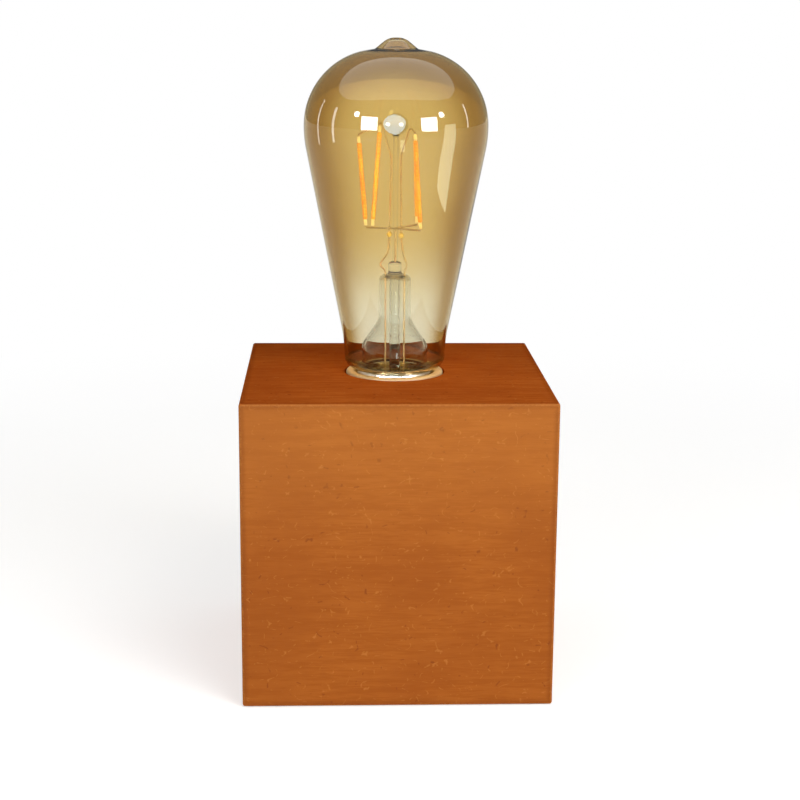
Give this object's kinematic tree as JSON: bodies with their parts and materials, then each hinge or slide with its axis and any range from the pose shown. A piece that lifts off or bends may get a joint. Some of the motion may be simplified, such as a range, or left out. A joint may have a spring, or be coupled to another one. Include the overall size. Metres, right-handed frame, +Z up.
{
  "type": "bare bulb table lamp",
  "caption": "Stained wooden cube with a pear-shaped amber filament bulb screwed upright into a lampholder that is sunk in its top face.",
  "frame": {"origin": "middle of the cube's underside, on the bulb's axis", "axes": "+Z up along the bulb's axis, -Y towards the front face that the picture shows, +X to the right of that face; the cable bush is in the back, towards +Y"},
  "size_m": [0.105, 0.105, 0.2208],
  "materials": {
    "stained_board": "orange-brown stain on fine fibre board, dull sheen",
    "plain_board": "unstained fibre board",
    "glue_block": "sawn softwood",
    "zinc_steel": "zinc plated",
    "black_rubber": "matt",
    "ivory_holder": "smooth, semi-gloss",
    "black_plastic": "moulded",
    "white_ceramic": "glazed ceramic",
    "brass": "bright stamped sheet",
    "plated_screw": "zinc plated",
    "nickel_cap": "nickel plated",
    "black_glass": "black glass",
    "solder": "tin-coated brass",
    "amber_glass": "amber coated",
    "clear_glass": "clear",
    "yellow_bead": "fused glass bead",
    "nickel_wire": "drawn wire",
    "filament_coating": "yellow-orange phosphor in silicone",
    "filament_tab": "plated strip",
    "circuit_board": "green solder mask",
    "capacitor_can": "drawn can",
    "black_package": "moulded package"
  },
  "bodies": {
    "base": {"front_board": "stained_board", "right_board": "stained_board", "left_board": "stained_board", "back_board": "stained_board", "top_board": "stained_board", "corner_block_front_left": "glue_block", "corner_block_front_right": "glue_block", "corner_block_back_left": "glue_block", "corner_block_back_right": "glue_block", "bottom_cover": "plain_board", "cover_screws": "zinc_steel", "cable_bush": "black_rubber", "holder_sleeve": "ivory_holder", "holder_cup": "black_plastic", "contact_insert": "white_ceramic", "screw_shell": "brass", "contact_foot": "brass", "contact_rivets": "brass", "live_terminal": "brass", "neutral_terminal": "brass", "terminal_screws": "plated_screw", "holder_strap": "zinc_steel", "strap_screws": "zinc_steel", "nipple": "zinc_steel", "washer": "zinc_steel", "nut": "zinc_steel"},
    "tongue": {"contact_tongue": "brass"},
    "cap_end": {"cap_insulator": "black_glass", "end_contact": "solder"},
    "bulb": {"glass_envelope": "amber_glass", "bulb_cap": "nickel_cap", "stem": "clear_glass", "exhaust_tube": "clear_glass", "button_rod": "clear_glass", "lead_wire_left": "nickel_wire", "lead_wire_right": "nickel_wire", "cross_wire": "nickel_wire", "anchor_wire": "nickel_wire", "wire_beads": "yellow_bead", "filament_left_outer": "filament_coating", "filament_left_inner": "filament_coating", "filament_right_front": "filament_coating", "filament_right_back": "filament_coating", "filament_tabs": "filament_tab", "driver_board": "circuit_board", "driver_capacitor": "capacitor_can", "driver_rectifier": "black_package"}
  },
  "joints": [
    {"name": "bulb_lift", "type": "slide", "parent": "base", "child": "cap_end", "axis": [0, 0, 1], "range_m": [0, 0.01815]},
    {"name": "bulb_turn", "type": "hinge", "parent": "cap_end", "child": "bulb", "pos_m": [0, 0, 0.095], "axis": [0, 0, 1], "range_deg": [0, 1800]},
    {"name": "tongue_press", "type": "hinge", "parent": "base", "child": "tongue", "pos_m": [-0.0046, 0, 0.07585], "axis": [0, 1, 0], "range_deg": [0, 10], "stiffness_Nm_per_rad": 0.02}
  ],
  "couplings": [
    {"joint": "bulb_lift", "follows": "bulb_turn", "m_per_rad": 0.00057757}
  ]
}
